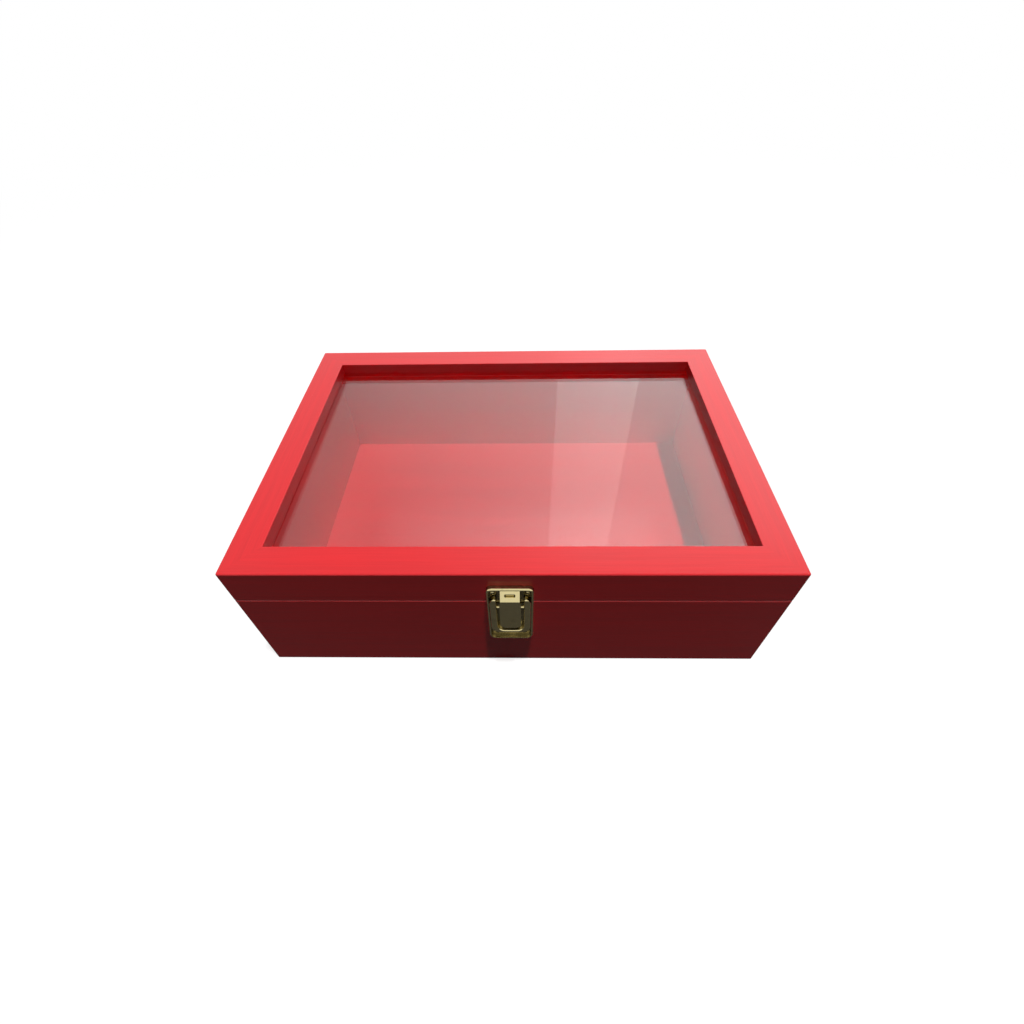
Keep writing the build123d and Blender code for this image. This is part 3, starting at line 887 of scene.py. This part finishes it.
class DISPLAYBOX_OT_latch_screws(bpy.types.Operator):
    """Drive the round-head screws of the two latch plates."""

    bl_idname = "displaybox.latch_screws"
    bl_label = "Drive the Latch Screws"

    def execute(self, context):
        box = context.scene.display_box
        screws = box.screws
        brass = brass_finish("screw brass", box.metal)
        shape = screw_shape("round head screws", domed=True)
        rows = (("latch_plate_screws", "base", screws.lower_dome, LOWER_SLOT_TURNS),
                ("strike_plate_screws", "lid", screws.upper_dome, UPPER_SLOT_TURNS))
        for node, body, dome, turns in rows:
            boxes = solid_boxes(node)
            places = [Vector(((low.x + high.x) / 2, low.y + dome, (low.z + high.z) / 2))
                      for low, high in boxes]
            made = screw_points(node + "_slotted", places, turns)
            low, high = boxes[0]
            run_shape(made, shape, brass, {
                "Head Radius": (high.x - low.x) / 2, "Head Height": dome,
                "Slot Width": screws.slot_width, "Slot Depth": screws.slot_depth,
                "Shank Radius": screws.latch_shank, "Length": high.y - low.y - dome,
                "Thread Pitch": screws.thread_pitch, "Thread Depth": screws.latch_thread,
                "Sides": screws.sides, "Outward": OUT_OF_FRONT})
            finish_screws(made, node, body)
        return {"FINISHED"}


class DISPLAYBOX_OT_hinges(bpy.types.Operator):
    """Finish the hinge leaves and their pins."""

    bl_idname = "displaybox.hinges"
    bl_label = "Finish the Hinges"

    def execute(self, context):
        metal = context.scene.display_box.metal
        brass = hinge_finish("hinge brass", metal)
        for side in ("left", "right"):
            for part in ("base_leaf", "lid_leaf", "pin"):
                node = f"hinge_{side}_{part}"
                softened(node, node + "_rolled", metal.leaf_edge, brass)
        return {"FINISHED"}


class DISPLAYBOX_OT_hinge_screws(bpy.types.Operator):
    """Drive the countersunk screws of the hinges."""

    bl_idname = "displaybox.hinge_screws"
    bl_label = "Drive the Hinge Screws"

    def execute(self, context):
        box = context.scene.display_box
        screws = box.screws
        brass = hinge_finish("hinge screw brass", box.metal)
        shape = screw_shape("countersunk screws", domed=False)
        rows = (("hinge_base_screws", "base", UP), ("hinge_lid_screws", "lid", DOWN))
        for node, body, outward in rows:
            boxes = solid_boxes(node)
            places = [Vector(((low.x + high.x) / 2, (low.y + high.y) / 2,
                              high.z if outward is UP else low.z)) for low, high in boxes]
            turns = [math.radians(FIRST_HINGE_SLOT_TURN + NEXT_HINGE_SLOT_TURN * index)
                     for index in range(len(places))]
            made = screw_points(node + "_slotted", places, turns)
            low, high = boxes[0]
            shank = screws.hinge_head * HINGE_SHANK_IN_HEAD
            run_shape(made, shape, brass, {
                "Head Radius": screws.hinge_head, "Head Height": screws.hinge_head - shank,
                "Slot Width": screws.slot_width * HINGE_SLOT_WIDTH_SHARE,
                "Slot Depth": screws.slot_depth * HINGE_SLOT_DEPTH_SHARE,
                "Shank Radius": shank, "Length": high.z - low.z,
                "Thread Pitch": screws.thread_pitch, "Thread Depth": screws.hinge_thread,
                "Sides": screws.sides, "Outward": outward})
            finish_screws(made, node, body)
        return {"FINISHED"}


def finish_screws(made, node, body):
    """Shade a set of screws, put it on its body and in the place of its CAD node."""
    made.data.set_sharp_from_angle(angle=HARD_EDGE)
    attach(made, body)
    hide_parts(node)


class DISPLAYBOX_OT_stage(bpy.types.Operator):
    """Lay the floor, hang the lamps and set up the camera."""

    bl_idname = "displaybox.stage"
    bl_label = "Set the Stage"

    def execute(self, context):
        stage = context.scene.display_box.stage
        self.lay_floor(stage)
        self.light_surroundings(context.scene, stage)
        self.hang_lamps(stage)
        self.aim_camera(context.scene, stage)
        context.scene.view_settings.view_transform = "Standard"
        return {"FINISHED"}

    @staticmethod
    def lay_floor(stage):
        """A square floor just under the box."""
        half = stage.floor_size / 2
        mesh = bpy.data.meshes.new("floor")
        mesh.from_pydata([(-half, -half, 0), (half, -half, 0), (half, half, 0), (-half, half, 0)],
                         [], [(0, 1, 2, 3)])
        mesh.materials.append(floor_finish("pale floor", stage))
        floor = add_object("floor", mesh)
        floor.location.z = -FLOOR_BELOW_BOX

    @staticmethod
    def light_surroundings(scene, stage):
        """A world that looks white, with only little light of its own on the box."""
        world = bpy.data.worlds.new("studio")
        world.use_nodes = True
        scene.world = world
        g = Graph(world.node_tree)
        g.tree.nodes.clear()
        camera, mirror, through = g.rays()
        seen = g.sum_to_one(camera + mirror, through)
        room = g.node("ShaderNodeBackground", values={"Color": WHITE, "Strength": stage.sky})
        white = g.node("ShaderNodeBackground", values={"Color": WHITE, "Strength": 1.0})
        mixed = g.node("ShaderNodeMixShader", values={0: seen, 1: room, 2: white})
        g.node("ShaderNodeOutputWorld", values={"Surface": mixed})

    @staticmethod
    def hang_lamps(stage):
        """A small lamp far overhead and two panels behind the box."""
        distance = (TOP_LAMP_PLACE - LAMP_TARGET).length
        radiance = stage.top_light * math.pi * distance ** 2 / TOP_LAMP_SIDE ** 2
        top = add_panel("top light", TOP_LAMP_PLACE, LAMP_TARGET, TOP_LAMP_SIDE, TOP_LAMP_SIDE,
                        radiance)
        top.visible_glossy = False
        width = WIDE_PANEL_RIGHT - WIDE_PANEL_LEFT
        place = Vector(((WIDE_PANEL_LEFT + WIDE_PANEL_RIGHT) / 2, PANEL_BEHIND,
                        PANEL_MIDDLE_HEIGHT))
        wide = add_panel("wide back panel", place, place + OUT_OF_FRONT, width, PANEL_TALL,
                         stage.back_light)
        shade_panel(wide.data, (WIDE_PANEL_FULL - WIDE_PANEL_LEFT) / width,
                    WIDE_PANEL_CLIMB * PANEL_TALL)
        place = Vector((NARROW_PANEL_X, PANEL_BEHIND - NARROW_PANEL_IN_FRONT,
                        PANEL_MIDDLE_HEIGHT))
        add_panel("narrow back panel", place, place + OUT_OF_FRONT, NARROW_PANEL_WIDTH,
                  PANEL_TALL, stage.strip_light)

    @staticmethod
    def aim_camera(scene, stage):
        """The camera, at the viewing angle of the photograph."""
        camera = bpy.data.objects.new("camera", bpy.data.cameras.new("camera"))
        scene.collection.objects.link(camera)
        camera.data.sensor_width = SENSOR_WIDTH_MM
        camera.data.lens = stage.lens
        camera.data.clip_start = NEAREST_SEEN
        heading = Matrix.Rotation(stage.camera_turn, 4, "Z")
        tilt = Matrix.Rotation(math.radians(90) - stage.camera_tilt, 4, "X")
        roll = Matrix.Rotation(-stage.camera_roll, 4, "Z")
        camera.matrix_world = Matrix.Translation(stage.camera_place) @ heading @ tilt @ roll
        scene.camera = camera


def add_panel(name, place, target, width, height, radiance):
    """A soft panel lamp of a given brightness that faces a point."""
    lamp = bpy.data.lights.new(name, "AREA")
    lamp.shape = "RECTANGLE"
    lamp.size = width
    lamp.size_y = height
    lamp.energy = radiance * 4 * width * height
    made = bpy.data.objects.new(name, lamp)
    bpy.context.scene.collection.objects.link(made)
    turn = (target - place).to_track_quat("-Z", "Y").to_matrix().to_4x4()
    made.matrix_world = Matrix.Translation(place) @ turn
    return made


def shade_panel(lamp, full_share, climb):
    """Fade a panel in from its dark end, and let it grow brighter towards its top."""
    lamp.use_nodes = True
    g = Graph(lamp.node_tree)
    g.tree.nodes.clear()
    across, up, _ = g.parts_of(g.node("ShaderNodeNewGeometry", out="Parametric"))
    rising = g.node("ShaderNodeMapRange", values={"Value": 1.0 - across, "From Max": full_share})
    strength = rising * (1.0 + (up - PLAIN_SHARE_OF_HEIGHT) * climb)
    glow = g.node("ShaderNodeEmission", values={"Strength": strength})
    g.node("ShaderNodeOutputLight", values={"Surface": glow})


OPERATORS = (DISPLAYBOX_OT_stage, DISPLAYBOX_OT_paint, DISPLAYBOX_OT_glaze, DISPLAYBOX_OT_latch,
             DISPLAYBOX_OT_spring, DISPLAYBOX_OT_latch_screws, DISPLAYBOX_OT_hinges,
             DISPLAYBOX_OT_hinge_screws)


class DISPLAYBOX_PT_sidebar(bpy.types.Panel):
    """Settings and steps of the display box."""

    bl_idname = "DISPLAYBOX_PT_sidebar"
    bl_label = "Display Box"
    bl_space_type = "VIEW_3D"
    bl_region_type = "UI"
    bl_category = "Display Box"

    def draw(self, context):
        box = context.scene.display_box
        for group in (box.paint, box.glass, box.metal, box.screws, box.spring, box.stage):
            column = self.layout.column()
            for name in group.bl_rna.properties.keys():
                if name not in ("rna_type", "name"):
                    column.prop(group, name)
        for operator in OPERATORS:
            self.layout.operator(operator.bl_idname)


CLASSES = (PaintSettings, GlassSettings, MetalSettings, ScrewSettings, SpringSettings,
           StageSettings, BoxSettings, *OPERATORS, DISPLAYBOX_PT_sidebar)


def register():
    for kind in CLASSES:
        bpy.utils.register_class(kind)
    bpy.types.Scene.display_box = PointerProperty(type=BoxSettings)


def unregister():
    del bpy.types.Scene.display_box
    for kind in reversed(CLASSES):
        bpy.utils.unregister_class(kind)


def main():
    register()
    bpy.ops.displaybox.stage()
    bpy.ops.displaybox.paint()
    bpy.ops.displaybox.glaze()
    bpy.ops.displaybox.latch()
    bpy.ops.displaybox.spring()
    bpy.ops.displaybox.latch_screws()
    bpy.ops.displaybox.hinges()
    bpy.ops.displaybox.hinge_screws()


if __name__ == "__main__":
    main()
